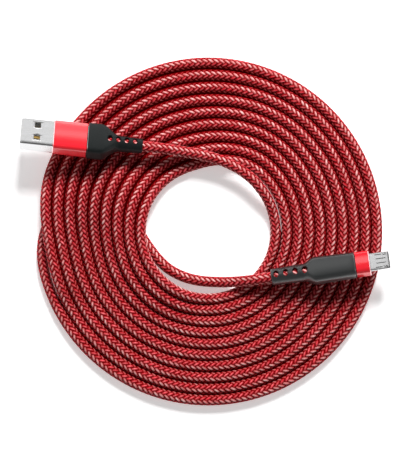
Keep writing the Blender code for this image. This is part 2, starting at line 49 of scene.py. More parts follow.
# The cord and its coil, as part.py has them. Routes are in mm, from the coil's centre.
CORD_D = 4.1 * MM
PITCH = 4.18 * MM
TURNS = 10
FIRST_TURN_R = 25.0 * MM
COIL_CENTRE = Vector((1.13 * MM, 0.0, 0.0))
HUMP_FLAT = 0.5 * CORD_D
HUMP_REACH = 22.0 * MM
TAIL_ROUTE = [
    (-61.2, -13.0), (-61.6, -6.0), (-60.0, 1.5), (-56.0, 8.2), (-49.8, 12.6), (-42.6, 14.0),
    (-36.0, 12.0), (-30.6, 7.2), (-26.6, 1.2), (-22.8, -4.8), (-18.7, -10.2), (-13.8, -14.6),
]
USB_A_ROUTE = [
    (-24.3, 31.4, 9.3), (-20.2, 31.0, 8.9), (-16.0, 30.5, 8.35), (-11.8, 29.9, 7.7),
    (-7.4, 29.2, 7.1), (-3.1, 28.4, 6.7), (1.2, 27.4, 6.5), (4.9, 26.2, 6.45),
    (8.4, 24.7, 6.45), (11.7, 22.9, 6.45), (14.6, 20.8, 6.45), (17.1, 18.6, 6.45),
]
MICRO_ROUTE = [
    (-15.6, -13.2, 2.06), (-11.0, -16.0, 2.06), (-6.2, -17.7, 2.06), (-1.4, -18.5, 2.2),
    (3.2, -18.75, 2.8), (7.2, -18.75, 3.8), (10.6, -18.55, 5.0), (13.8, -18.25, 6.1),
    (17.0, -17.85, 6.9), (20.2, -17.4, 7.35), (23.4, -16.9, 7.65),
]
# Where the lead comes down from the turns and becomes the innermost one
COME_DOWN = [(19.2, 16.1, 6.0), (21.7, 12.5, 4.8), (23.5, 8.5, 3.4), (24.6, 4.3, 2.5)]
COIL_END_DEG = 3408.0  # clockwise round the coil from +X, to where the last turn dives
GROW_EARLY = (168.0, 205.0)  # the stretches in which a turn moves out by its share of the pitch
GROW_LATE = (250.0, 312.0)
COIL_STEP_DEG = 10.0
FLAT_RUN_IN_DEG = 90.0  # the end of the last turn, which lies on the floor
LOWERING_DEG = 27.0  # the first part of it, where the turn comes down
# Where the cord's line runs inside each boot, in mm from the boot's mouth and in the cord's own order
INSIDE_USB_A = (15.4, 11.5, 7.6, 3.8)
INSIDE_MICRO = (4.0, 9.0, 14.0, 19.2)

LINE_STEP = 0.5 * MM

# The braid, over two and under two
YARNS = 8  # each way
COLUMNS = 4  # of floats round the cord, for each way
LEAD = 16.4 * MM  # length of cord in which a yarn goes once round
CORE_R = 1.84 * MM
CORE_SIDES = 16
CROWN_R = 2.15 * MM
HALF_FLOAT = 1.35 * MM
HALF_YARN = 0.6 * MM
FLOAT_ALONG = (-1.0, -0.62, 0.0, 0.62, 1.0)  # where a float's mesh has its points, as parts of its half
FLOAT_ACROSS = (-1.0, -0.5, 0.0, 0.5, 1.0)
FLOAT_HEIGHT = (0.0, 0.86, 1.0, 0.86, 0.0)  # across the float
PAINTED_LIGHT_ACROSS = (0.0, 0.42, 1.0, 0.3, 0.0)  # painted shade across the float: how much of the yarn's colour shows over its painted shade colour, all at the crown and none at the edges
TIP_NARROWS = 0.22  # part of a float's width lost at its ends
PAINTED_GROOVE_SHADE = 0.8  # how much painted shade darkens a float where its side is pressed on the next turn
NOISE_STEP = 1.7  # from one float to the next, so that no two have the same filaments
SUNK = 0.05 * MM  # of a float's edge into the core
OVERLAP = 0.12 * MM  # of the cores of two turns that press on each other
BULGE_POWER = 12  # how narrow the pressed side of a core is
PRESS_REACH = 4 * PITCH  # length of cord over which a turn comes to press on the next

VIEW_CENTRE = Vector((1.03 * MM, 2.4 * MM, 4.0 * MM))
VIEW_HEIGHT = 166.7 * MM
VIEW_DISTANCE = 1.0
FLOOR_HALF = 3.0


# ---------------------------------------------------------------- camera, floor and light

def add_camera():
    data = bpy.data.cameras.new("camera")
    data.lens = data.sensor_width * VIEW_DISTANCE / VIEW_HEIGHT
    data.clip_start = 0.01
    camera = bpy.data.objects.new("camera", data)
    camera.location = VIEW_CENTRE + Vector((0, 0, VIEW_DISTANCE))
    bpy.context.scene.collection.objects.link(camera)
    bpy.context.scene.camera = camera


def add_area(name, place, size, power, glossy=True):
    """A lamp that faces the coil; one that isn't glossy lights the pieces but isn't mirrored in them."""
    data = bpy.data.lights.new(name, "AREA")
    data.shape = "RECTANGLE"
    data.size, data.size_y = size
    data.energy = power
    lamp = bpy.data.objects.new(name, data)
    lamp.location = place
    lamp.visible_glossy = glossy
    lamp.rotation_euler = (-Vector(place)).to_track_quat("-Z", "Y").to_euler()
    bpy.context.scene.collection.objects.link(lamp)


def add_world():
    """A grey sky, darker above a pale band near the horizon, which the USB-A shell mirrors."""
    world = bpy.data.worlds.new("studio")
    bpy.context.scene.world = world
    world.use_nodes = True
    nodes, links = world.node_tree.nodes, world.node_tree.links
    where = nodes.new("ShaderNodeTexCoord")
    split = nodes.new("ShaderNodeSeparateXYZ")
    ramp = nodes.new("ShaderNodeValToRGB")
    levels = (
        (0.0, 0.6), (0.12, 0.65), (0.18, 1.15), (0.25, 1.15),
        (0.32, 0.25), (0.5, 0.14), (0.85, 0.16), (1.0, 0.1),
    )
    set_stops(ramp, [(at, (level, level, level)) for at, level in levels])
    links.new(where.outputs["Generated"], split.inputs[0])
    links.new(split.outputs["Z"], ramp.inputs[0])
    links.new(ramp.outputs[0], nodes["Background"].inputs["Color"])
    nodes["Background"].inputs["Strength"].default_value = 1.1


def add_floor():
    """White paper with a faint glow of its own, so that shadows on it stay as light as the photo's."""
    bm = bmesh.new()
    bmesh.ops.create_grid(bm, x_segments=2, y_segments=2, size=FLOOR_HALF)
    mesh = bpy.data.meshes.new("floor")
    bm.to_mesh(mesh)
    bm.free()
    floor = bpy.data.objects.new("floor", mesh)
    bpy.context.scene.collection.objects.link(floor)
    paper = finish("floor_paper", (0.93, 0.93, 0.93), (0.97, 0.97, 0.97), (0.85, 0.95), 400,
                   Emission_Color=(1, 1, 1, 1), Emission_Strength=0.4)
    floor.data.materials.append(paper)


# ---------------------------------------------------------------- materials

FINISHES = {}  # the materials made so far, by name
NOISE_DETAIL = 3.0
MIX_A, MIX_B, MIX_RESULT = 6, 7, 2  # the colour sockets of a mix node


def set_stops(ramp, stops):
    elements = ramp.color_ramp.elements
    while len(elements) < len(stops):
        elements.new(1.0)
    for element, (at, colour) in zip(elements, stops):
        element.position = at
        element.color = (*colour, 1.0)


def finish(name, dark, light, roughness, scale, stretch=(1, 1, 1), bump=0.0, metallic=0.0,
           attribute=None, spread=0.2, **sockets):
    """A material whose colour, roughness and bump all follow one noise.

    The noise is in the piece's own frame, or in the space of a vector attribute of the mesh.
    """
    if name in FINISHES:
        return FINISHES[name]
    made = bpy.data.materials.new("look_" + name)
    FINISHES[name] = made
    made.use_nodes = True
    nodes, links = made.node_tree.nodes, made.node_tree.links
    shader = nodes["Principled BSDF"]
    shader.inputs["Metallic"].default_value = metallic
    for socket, value in sockets.items():
        shader.inputs[socket.replace("_", " ")].default_value = value
    if attribute:
        source = nodes.new("ShaderNodeAttribute")
        source.attribute_name = attribute
        where = source.outputs["Vector"]
    else:
        where = nodes.new("ShaderNodeTexCoord").outputs["Object"]
    place = nodes.new("ShaderNodeMapping")
    place.inputs["Scale"].default_value = stretch
    noise = nodes.new("ShaderNodeTexNoise")
    noise.inputs["Scale"].default_value = scale
    noise.inputs["Detail"].default_value = NOISE_DETAIL
    colour = nodes.new("ShaderNodeValToRGB")
    set_stops(colour, [(0.5 - spread, dark), (0.5 + spread, light)])
    rough = nodes.new("ShaderNodeMapRange")
    rough.inputs["To Min"].default_value, rough.inputs["To Max"].default_value = roughness
    links.new(where, place.inputs["Vector"])
    links.new(place.outputs[0], noise.inputs["Vector"])
    links.new(noise.outputs[0], colour.inputs[0])
    links.new(noise.outputs[0], rough.inputs["Value"])
    links.new(colour.outputs[0], shader.inputs["Base Color"])
    links.new(rough.outputs[0], shader.inputs["Roughness"])
    if bump:
        relief = nodes.new("ShaderNodeBump")
        relief.inputs["Distance"].default_value = bump
        links.new(noise.outputs[0], relief.inputs["Height"])
        links.new(relief.outputs[0], shader.inputs["Normal"])
    return made


def yarn(name, painted_shade_colour, dark, light):
    """Polyester yarn: fine filaments from dark to light along each float, blended into a painted shade colour
    at its edges and ends.
    """
    made = finish(name, dark, light, (0.42, 0.6), 1.0, (0.5, 6.0, 1.0), 0.02 * MM, attribute="fibre",
                  spread=0.1, Specular_IOR_Level=0.1)
    nodes, links = made.node_tree.nodes, made.node_tree.links
    shader = nodes["Principled BSDF"]
    filaments = shader.inputs["Base Color"].links[0].from_socket
    tone_and_painted_shade = nodes.new("ShaderNodeAttribute")
    tone_and_painted_shade.attribute_name = "tone_and_painted_shade"
    mixer = nodes.new("ShaderNodeMix")
    mixer.data_type = "RGBA"
    mixer.inputs[MIX_A].default_value = (*painted_shade_colour, 1.0)
    links.new(tone_and_painted_shade.outputs["Fac"], mixer.inputs[0])
    links.new(filaments, mixer.inputs[MIX_B])
    links.new(mixer.outputs[MIX_RESULT], shader.inputs["Base Color"])
    return made


def braid_core():
    return finish("braid_core", (0.09, 0.0002, 0.0005), (0.15, 0.0006, 0.0015), (0.8, 0.95), 1500,
                  Specular_IOR_Level=0.03)


def boot_black(name, shine, index):
    """Moulded black plastic, with this much shine and this refractive index."""
    return finish(name, (0.006, 0.0075, 0.0075), (0.011, 0.013, 0.013), (0.32, 0.4), 2600,
                  bump=0.004 * MM, Specular_IOR_Level=shine, IOR=index)


def red_aluminium():
    """Anodised aluminium, brushed along the plug."""
    return finish("red_aluminium", (0.85, 0.001, 0.012), (0.95, 0.003, 0.02), (0.26, 0.38), 900,
                  (0.04, 1, 1), 0.0, 0.4, Specular_IOR_Level=0.0, Coat_Weight=1.0,
                  Coat_Roughness=0.14, Coat_IOR=2.1)


def bare_edge():
    return finish("aluminium_edge", (0.85, 0.5, 0.52), (0.95, 0.7, 0.72), (0.15, 0.25), 900,
                  (0.04, 1, 1), 0.0, 1.0)


def plug_steel():
    return finish("plug_steel", (0.64, 0.64, 0.64), (0.7, 0.7, 0.71), (0.17, 0.23), 1600,
                  (0.03, 1, 1), 0.0, 1.0)


CAD_FINISHES = {
    "insulator_white": ((0.72, 0.71, 0.67), (0.82, 0.81, 0.78), (0.4, 0.55), 3000, {"bump": 0.004 * MM}),
    "insulator_black": (
        (0.012, 0.012, 0.013), (0.022, 0.022, 0.023), (0.35, 0.5), 3000, {"bump": 0.004 * MM},
    ),
    "mould_grey": ((0.24, 0.24, 0.24), (0.34, 0.34, 0.33), (0.5, 0.65), 1600, {"bump": 0.01 * MM}),
    "contact_gold": ((0.78, 0.5, 0.15), (0.9, 0.63, 0.24), (0.16, 0.26), 4000, {"metallic": 1.0}),
    "jacket_grey": ((0.09, 0.09, 0.1), (0.14, 0.14, 0.15), (0.5, 0.62), 2200, {"bump": 0.006 * MM}),
    "crimp_steel": ((0.5, 0.5, 0.5), (0.68, 0.68, 0.68), (0.25, 0.4), 2000, {"metallic": 1.0}),
    "latch_steel": ((0.58, 0.58, 0.58), (0.72, 0.72, 0.72), (0.2, 0.3), 2500, {"metallic": 1.0}),
    "wire_red": ((0.5, 0.012, 0.012), (0.62, 0.02, 0.02), (0.35, 0.5), 2500, {}),
    "wire_white": ((0.74, 0.74, 0.72), (0.84, 0.84, 0.83), (0.35, 0.5), 2500, {}),
    "wire_green": ((0.012, 0.28, 0.04), (0.02, 0.36, 0.06), (0.35, 0.5), 2500, {}),
    "wire_black": ((0.012, 0.012, 0.012), (0.025, 0.025, 0.025), (0.35, 0.5), 2500, {}),
}


def finish_cad_nodes():
    """A better material on each CAD piece that stays: those inside the plugs and the two latches."""
    rules = (
        ("usb_a_insulator", "insulator_white"), ("micro_insulator", "insulator_black"),
        ("front_insert", "insulator_black"), ("inner_mould", "mould_grey"), ("contact", "contact_gold"),
        ("jacket", "jacket_grey"), ("crimp", "crimp_steel"), ("latch", "latch_steel"),
        ("wire_red", "wire_red"), ("wire_white", "wire_white"), ("wire_green", "wire_green"),
        ("wire_black", "wire_black"),
    )
    for name, node in frame["nodes"].items():
        for part_name, look in rules:
            if part_name in name:
                dark, light, roughness, scale, extra = CAD_FINISHES[look]
                for place in node.material_slots:
                    place.material = finish(look, dark, light, roughness, scale, **extra)
                break


# ---------------------------------------------------------------- frames of the plugs

def plug_frame(stop_mount, shell_mount, stop_local):
    """A plug's own frame from its two mounts: +X to its tip, +Z out of the shell's broad face."""
    mounts = {m["name"]: m for m in frame["record"]["mounts"]}
    along = Vector(mounts[stop_mount]["axis"]).normalized()
    up = Vector(mounts[shell_mount]["axis"])
    up = (up - up.dot(along) * along).normalized()
    turn = Matrix((along, up.cross(along), up)).transposed()
    origin = Vector(mounts[stop_mount]["pos_m"]) - turn @ (Vector(stop_local) * MM)
    return Matrix.Translation(origin) @ turn.to_4x4()


USB_A = plug_frame("usb_a_stop_face", "usb_a_shell_face", (33.0, 0, 2.6))
MICRO = plug_frame("micro_usb_stop_face", "micro_usb_shell_face", (36.4, 0, 1.55))


# ---------------------------------------------------------------- the cord's line

def spline_through(points, step):
    """Points this far apart on a smooth cubic curve through the given ones."""
    knots = np.array(points, float)
    gaps = np.linalg.norm(np.diff(knots, axis=0), axis=1)
    at = np.concatenate([[0.0], np.cumsum(gaps)])
    count = len(knots)
    system = np.eye(count)
    right = np.zeros((count, 3))
    for i in range(1, count - 1):
        system[i, i - 1 : i + 2] = gaps[i - 1], 2 * (gaps[i - 1] + gaps[i]), gaps[i]
        right[i] = 6 * ((knots[i + 1] - knots[i]) / gaps[i] - (knots[i] - knots[i - 1]) / gaps[i - 1])
    bend = np.linalg.solve(system, right)
    wanted = np.linspace(0, at[-1], int(at[-1] / step) + 1)
    span = np.clip(np.searchsorted(at, wanted, side="right") - 1, 0, count - 2)
    width = gaps[span][:, None]
    a = (at[span + 1] - wanted)[:, None] / width
    b = 1 - a
    line = a * knots[span] + b * knots[span + 1]
    line += ((a**3 - a) * bend[span] + (b**3 - b) * bend[span + 1]) * width**2 / 6
    return line


def smooth_step(t):
    t = min(max(t, 0.0), 1.0)
    return t * t * (3 - 2 * t)


TAIL = spline_through([(x * MM, y * MM, 0.0) for x, y in TAIL_ROUTE], MM)[:, :2]


def lift(x, y):
    """How far the turns are raised here to pass over the tail."""
    near = np.hypot(TAIL[:, 0] - x, TAIL[:, 1] - y).min()
    fall = min(max((near - HUMP_FLAT) / (HUMP_REACH - HUMP_FLAT), 0.0), 1.0)
    return CORD_D * math.cos(0.5 * math.pi * fall) ** 2


def grown(degrees, stretch):
    """How much of its move outwards a turn has made by this angle in a stretch."""
    return smooth_step((degrees - stretch[0]) / (stretch[1] - stretch[0]))


def coil_points():
    """The turns from the innermost out, a pitch further out each time.

    The outer turns move out where the last one goes down, and the inner ones where the first one
    comes in. Between the two, nine turns fill the width of ten.
    """
    points = []
    degrees = 0.0
    while degrees < COIL_END_DEG - 0.5 * COIL_STEP_DEG:
        turn, angle = divmod(degrees, 360.0)
        early = turn / (TURNS - 2)
        moved = turn + early * grown(angle, GROW_EARLY) + (1 - early) * grown(angle, GROW_LATE)
        radius = FIRST_TURN_R + PITCH * moved
        x = radius * math.cos(math.radians(angle))
        y = -radius * math.sin(math.radians(angle))
        over = 1.0 - smooth_step((degrees - (COIL_END_DEG - FLAT_RUN_IN_DEG)) / LOWERING_DEG)
        points.append((x, y, 0.5 * CORD_D + over * lift(x, y)))
        degrees += COIL_STEP_DEG
    return points


def cord_line():
    """The centreline from inside one boot to inside the other, and where its first and last turns run."""
    inside_usb_a = [USB_A @ Vector((x * MM, 0, 0)) for x in INSIDE_USB_A]
    inside_micro = [MICRO @ Vector((x * MM, 0, 0)) for x in INSIDE_MICRO]
    route = [Vector(point) * MM for point in USB_A_ROUTE + COME_DOWN]
    route += [Vector(point) for point in coil_points()]
    route += [Vector((x * MM, y * MM, 0.5 * CORD_D)) for x, y in TAIL_ROUTE[:-1]]
    route += [Vector(point) * MM for point in MICRO_ROUTE]
    route = [point + COIL_CENTRE for point in route]
    knots = inside_usb_a + route + inside_micro
    run = np.cumsum([0.0] + [(b - a).length for a, b in zip(knots, knots[1:])])
    start = len(inside_usb_a + USB_A_ROUTE + COME_DOWN)
    end = start + len(coil_points()) - 1
    a_turn = round(360 / COIL_STEP_DEG)
    marks = (run[start], run[start + a_turn]), (run[end - a_turn], run[end])
    return spline_through(knots, LINE_STEP), *marks


class Cord:
    """The centreline with, at each length along it, the directions outward and up.

    Angles round the cord start at up and turn outward.
    """

    def __init__(self, line, first_turn, last_turn):
        self.line = line
        self.first_turn = first_turn
        self.last_turn = last_turn
        steps = np.linalg.norm(np.diff(line, axis=0), axis=1)
        self.at = np.concatenate([[0.0], np.cumsum(steps)])
        self.length = self.at[-1]
        along = np.gradient(line, self.at, axis=0)
        along /= np.linalg.norm(along, axis=1)[:, None]
        side = np.cross((0.0, 0.0, 1.0), along)
        self.side = side / np.linalg.norm(side, axis=1)[:, None]
        self.up = np.cross(along, self.side)

    def read(self, values, s):
        return np.stack([np.interp(s, self.at, values[:, i]) for i in range(3)], axis=-1)

    def half_gap(self, s):
        """Half the distance from one turn to the next, which is a little more at the upper left."""
        place = self.read(self.line, s) - np.array(COIL_CENTRE)
        degrees = np.degrees(np.arctan2(-place[..., 1], place[..., 0])) % 360
        spread = np.clip((degrees - GROW_EARLY[0]) / (GROW_EARLY[1] - GROW_EARLY[0]), 0, 1)
        spread -= np.clip((degrees - GROW_LATE[0]) / (GROW_LATE[1] - GROW_LATE[0]), 0, 1)
        return 0.5 * PITCH * (1 + spread / (TURNS - 2))

    def pressed(self, s, angle):
        """How far the side at this angle is pressed on the next turn: 1 between turns, 0 where free."""
        outward = np.clip((self.last_turn[0] - s) / PRESS_REACH, 0, 1) * (s > self.first_turn[0])
        inward = np.clip((s - self.first_turn[1]) / PRESS_REACH, 0, 1) * (s < self.last_turn[1])
        return np.where(np.sin(angle) > 0, outward, inward)

    def place(self, s, angle, radius):
        """Points at this length, at this angle round the cord and this far from its centre."""
        up, side = self.read(self.up, s), self.read(self.side, s)
        out = np.cos(angle)[..., None] * up + np.sin(angle)[..., None] * side
        return self.read(self.line, s) + radius[..., None] * out


def grid_mesh(name, points, wrap=False):
    """A mesh from an array of patches, each a grid of points; wrap closes its second direction."""
    patches, rows, columns = points.shape[:3]
    index = np.arange(patches * rows * columns).reshape(patches, rows, columns)
    after = np.roll(index, -1, axis=2) if wrap else index[:, :, 1:]
    before = index if wrap else index[:, :, :-1]
    quads = np.stack([before[:, :-1], after[:, :-1], after[:, 1:], before[:, 1:]], axis=-1).reshape(-1, 4)
    mesh = bpy.data.meshes.new(name)
    mesh.vertices.add(points.size // 3)
    mesh.vertices.foreach_set("co", points.astype(np.float32).ravel())
    mesh.loops.add(quads.size)
    mesh.loops.foreach_set("vertex_index", quads.astype(np.int32).ravel())
    mesh.polygons.add(len(quads))
    mesh.polygons.foreach_set("loop_start", np.arange(0, quads.size, 4, dtype=np.int32))
    mesh.update(calc_edges=True)
    mesh.shade_smooth()
    return mesh


def shown(name, mesh, material, matrix=None):
    """A new piece of this mesh, riding on the cable."""
    piece = bpy.data.objects.new(name, mesh)
    bpy.context.scene.collection.objects.link(piece)
    piece.matrix_world = matrix or Matrix()
    mesh.materials.append(material)
    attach(piece, "cable")
    return piece


def add_core(cord):
    """The dark body of the cord under the yarns, with its ends closed."""
    count = int(cord.length / MM)
    s = np.linspace(0, cord.length, count)[:, None] + np.zeros(CORE_SIDES)
    angle = np.zeros((count, 1)) + np.linspace(0, 2 * math.pi, CORE_SIDES, endpoint=False)
    reach = cord.half_gap(s) + OVERLAP
    radius = CORE_R + (reach - CORE_R) * cord.pressed(s, angle) * np.abs(np.sin(angle)) ** BULGE_POWER
    points = cord.place(s, angle, radius)
    mesh = grid_mesh("cord_core", points[None], wrap=True)
    bm = bmesh.new()
    bm.from_mesh(mesh)
    bmesh.ops.holes_fill(bm, edges=[e for e in bm.edges if e.is_boundary], sides=CORE_SIDES)
    bmesh.ops.recalc_face_normals(bm, faces=bm.faces)
    bm.to_mesh(mesh)
    bm.free()
    return shown("cord_core", mesh, braid_core())


def add_attribute(mesh, name, kind, field, values):
    data = mesh.attributes.new(name, kind, "POINT").data
    data.foreach_set(field, values.astype(np.float32).ravel())


def add_yarns(cord, name, hand, first_angle, shift, material, seed):
    """The visible floats of the yarns that wind this hand, in columns round the cord.

    t runs from -1 to 1 along each float and v across it.
    """
    rng = np.random.default_rng(seed)
    repeat = LEAD / YARNS
    rows = int(cord.length / repeat) - 1
    row_s = (np.arange(rows) + 0.5 + shift) * repeat
    centre_s, column = np.meshgrid(row_s, np.arange(COLUMNS), indexing="ij")
    centre_s = centre_s.reshape(-1, 1, 1)
    centre_angle = math.radians(first_angle) + column.reshape(-1, 1, 1) * 2 * math.pi / COLUMNS
    count = len(centre_s)
    slope = math.atan2(math.pi * CORD_D, LEAD)
    t = np.array(FLOAT_ALONG)[None, :, None]
    v = np.array(FLOAT_ACROSS)[None, None, :]
    width = HALF_YARN * (1 + rng.uniform(-0.07, 0.07, (count, 1, 1)))
    along = t * HALF_FLOAT * (1 + rng.uniform(-0.05, 0.05, (count, 1, 1)))
    across = v * width * (1 - TIP_NARROWS * t**2)
    s = centre_s + along * math.cos(slope) - hand * across * math.sin(slope)
    s = np.clip(s, 0, cord.length)
    angle = centre_angle + (hand * along * math.sin(slope) + across * math.cos(slope)) / (0.5 * CORD_D)
    height = (CROWN_R - CORE_R) * (1 + rng.uniform(-0.08, 0.04, (count, 1, 1)))
    radius = CORE_R - SUNK + height * (1 - np.abs(t) ** 2.6) * np.array(FLOAT_HEIGHT)
    mesh = grid_mesh(name, cord.place(s, angle, radius))

    number = np.arange(count).reshape(-1, 1, 1)
    fibre = np.broadcast_arrays(along / MM, across / MM, number * NOISE_STEP, t * v)[:3]
    add_attribute(mesh, "fibre", "FLOAT_VECTOR", "vector", np.stack(fibre, -1))
    each = 0.5 + 0.5 * rng.random((count, 1, 1))
    # painted shade on the sides of the floats that press on the next turn
    sideness = np.clip((np.abs(np.sin(angle)) - 0.6) / 0.3, 0, 1)
    painted_groove_shade = 1 - PAINTED_GROOVE_SHADE * cord.pressed(s, angle) * sideness
    # each float's random tone, times painted shade towards its ends, across it and where it is pressed
    add_attribute(mesh, "tone_and_painted_shade", "FLOAT", "value", each * painted_groove_shade * (1 - t**2) * np.array(PAINTED_LIGHT_ACROSS))
    return shown(name, mesh, material)


def add_cord():
    cord = Cord(*cord_line())
    core = add_core(cord)
    # the first colour of each yarn is its painted shade colour, the dark red shown at float edges, ends and
    # pressed sides
    light_look = yarn("yarn_light", (0.3, 0.0, 0.002), (1.0, 0.26, 0.27), (1.0, 0.8, 0.76))
    red_look = yarn("yarn_red", (0.22, 0.0, 0.002), (0.85, 0.02, 0.04), (1.0, 0.24, 0.26))
    light = add_yarns(cord, "cord_yarns_light", -1, 22.5, 0.0, light_look, 3)
    red = add_yarns(cord, "cord_yarns_red", 1, -22.5, 0.5, red_look, 4)
    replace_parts(core, "cord_coil", "cord_usb_a_lead", "cord_micro_lead", "usb_a_cord_end", "micro_cord_end")
    return cord, core, light, red


# ---------------------------------------------------------------- shapes for the plugs

SHARP_DEG = 40  # edges sharper than this are drawn as edges
OVAL_POINTS = 32


def outline(width, height, radius, crown=0.0, *, corner, flat):
    """Points (y, z) round a rectangle with round corners, its broad faces crowned by this much."""
    radius = min(radius, 0.4999 * width, 0.4999 * height)
    points = []
    for side, level, start in ((1, 1, 0), (-1, 1, 90), (-1, -1, 180), (1, -1, 270)):
        centre = Vector((side * (width / 2 - radius), level * (height / 2 - radius)))
        for i in range(corner + 1):
            angle = math.radians(start + 90 * i / corner)
            points.append(centre + radius * Vector((math.cos(angle), math.sin(angle))))
        ahead = {0: (-1, 1), 90: (-1, -1), 180: (1, -1), 270: (1, 1)}[start]
        turn = math.radians(start + 90)
        nxt = Vector((ahead[0] * (width / 2 - radius), ahead[1] * (height / 2 - radius)))
        nxt += radius * Vector((math.cos(turn), math.sin(turn)))
        last = points[-1]
        for i in range(1, flat):
            points.append(last.lerp(nxt, i / flat))
    return [(y, z + math.copysign(crown * (1 - (2 * y / width) ** 2), z)) for y, z in points]


def ring_at(x, *args, **kwargs):
    return [(x, y, z) for y, z in outline(*args, **kwargs)]


def wrapped(name, rings, sharp=SHARP_DEG):
    """A closed skin over rings that run out along a tube and back along its inside."""
    points = np.array(rings, float)[None]
    points = np.concatenate([points, points[:, :1]], axis=1)
    mesh = grid_mesh(name, points, wrap=True)
    bm = bmesh.new()
    bm.from_mesh(mesh)
    bmesh.ops.remove_doubles(bm, verts=bm.verts, dist=1e-7)
    bmesh.ops.recalc_face_normals(bm, faces=bm.faces)
    bm.to_mesh(mesh)
    bm.free()
    mesh.shade_smooth()
    mesh.set_sharp_from_angle(angle=math.radians(sharp))
    return mesh


def carved(mesh, cutters):
    """The mesh with these closed shapes taken out of it."""
    holder = bpy.data.objects.new("carving", mesh)
    bpy.context.scene.collection.objects.link(holder)
    tools = []
    for cutter in cutters:
        tool = bpy.data.objects.new("cutter", cutter)
        bpy.context.scene.collection.objects.link(tool)
        boolean = holder.modifiers.new("cut", "BOOLEAN")
        boolean.object = tool
        tools.append(tool)
    graph = bpy.context.evaluated_depsgraph_get()
    made = bpy.data.meshes.new_from_object(holder.evaluated_get(graph), depsgraph=graph)
    for item in [holder, *tools]:
        bpy.data.objects.remove(item)
    made.name = mesh.name + "_carved"
    made.shade_smooth()
    made.set_sharp_from_angle(angle=math.radians(SHARP_DEG))
    return made


def stack(rings):
    """A closed solid over rings in order, with flat ends."""
    bm = bmesh.new()
    loops = [[bm.verts.new(point) for point in ring] for ring in rings]
    for low, high in zip(loops, loops[1:]):
        for i in range(len(low)):
            j = (i + 1) % len(low)
            bm.faces.new((low[i], low[j], high[j], high[i]))
    bm.faces.new(loops[0])
    bm.faces.new(loops[-1])
    bmesh.ops.recalc_face_normals(bm, faces=bm.faces)
    mesh = bpy.data.meshes.new("solid")
    bm.to_mesh(mesh)
    bm.free()
    return mesh


def oval_cutter(x, length, width, top):
    """An upright oval hole whose mouth widens as it meets the surface, above and below."""
    def ring(z, extra):
        return [
            (x + (0.5 * length + extra) * math.cos(a), (0.5 * width + extra) * math.sin(a), z)
            for a in (2 * math.pi * i / OVAL_POINTS for i in range(OVAL_POINTS))
        ]

    levels = ((1.0, 0.75), (0.05, 0.3), (-0.15, 0.14), (-0.4, 0.0))
    rings = [ring(top + above * MM, extra * MM) for above, extra in levels]
    rings += [ring(-top - above * MM, extra * MM) for above, extra in reversed(levels)]
    return stack(rings)


def block_cutter(low, high):
    bm = bmesh.new()
    size, middle = Vector(high) - Vector(low), (Vector(high) + Vector(low)) / 2
    bmesh.ops.create_cube(bm, size=1.0, matrix=Matrix.Translation(middle) @ Matrix.Diagonal((*size, 1.0)))
    mesh = bpy.data.meshes.new("block")
    bm.to_mesh(mesh)
    bm.free()
    return mesh


def mix(a, b, t):
    return a + (b - a) * t


def blend(a, b, t):
    return mix(a, b, smooth_step(t))


# ---------------------------------------------------------------- boots

ROUND = {"corner": 9, "flat": 6}  # points on each corner and flat of a boot's rings
RELIEF_ROUNDNESS = 0.48  # a strain relief's corner radius, as a part of its height
BORE_R = 2.22  # mm, where the cord goes in
MOUTH_LIP = 0.35  # mm, round the bore
FRONT_EDGE = 0.22  # mm, round the body's front


def boot_mesh(name, ends, mouth_d, relief, body, front, body_r, crown, chamber, holes, hole_size):
    """A moulded boot: round strain relief, a smooth taper, then the body; hollow right through.

    All in mm. The ends of relief, taper and body are given along the plug, then widths by heights.
    """
    relief_end, taper_end, body_end = ends
    rings = []

    def add_ring(x, width, height, radius, bulge=0.0):
        rings.append(ring_at(x * MM, width * MM, height * MM, radius * MM, bulge * MM, **ROUND))

    for i in range(4):
        turn = math.radians(90 * i / 3)
        d = mouth_d + (relief[0] - MOUTH_LIP - mouth_d) * math.sin(turn)
        add_ring(MOUTH_LIP * (1 - math.cos(turn)), d, d, 0.5 * d)
    for i in range(1, 23):
        t = i / 22
        width, height = blend(relief[0] - MOUTH_LIP, relief[0], t), blend(relief[1] - 0.15, relief[1], t)
        add_ring(mix(MOUTH_LIP, relief_end, t), width, height, RELIEF_ROUNDNESS * height)
    for i in range(1, 25):
        t = i / 24
        bulge = crown * smooth_step(t)
        add_ring(mix(relief_end, taper_end, t), blend(relief[0], body[0], t),
                 blend(relief[1], body[1], t) - 2 * bulge,
                 blend(RELIEF_ROUNDNESS * relief[1], body_r, t), bulge)
    for i in range(1, 9):
        t = i / 8
        add_ring(mix(taper_end, body_end - FRONT_EDGE, t), mix(body[0], front[0], t),
                 mix(body[1], front[1], t) - 2 * crown, body_r, crown)
    for i in range(1, 4):
        turn = math.radians(90 * i / 3)
        less = FRONT_EDGE * (1 - math.cos(turn))
        add_ring(body_end - FRONT_EDGE * (1 - math.sin(turn)), front[0] - 2 * less,
                 front[1] - 2 * crown - 2 * less, body_r - less, crown)
    start, width, height = chamber
    add_ring(body_end, width, height, 0.8)
    add_ring(start + 0.3, width, height, 0.8)
    for x, radius in ((start, BORE_R), (0.25, BORE_R), (0.0, BORE_R + 0.15)):
        add_ring(x, 2 * radius, 2 * radius, radius)

    cutters = []
    for x in holes:
        at = (x - relief_end) / (taper_end - relief_end)
        top = 0.5 * blend(relief[1], body[1], at)
        cutters.append(oval_cutter(x * MM, hole_size[0] * MM, hole_size[1] * MM, top * MM))
    return carved(wrapped(name, rings), cutters)


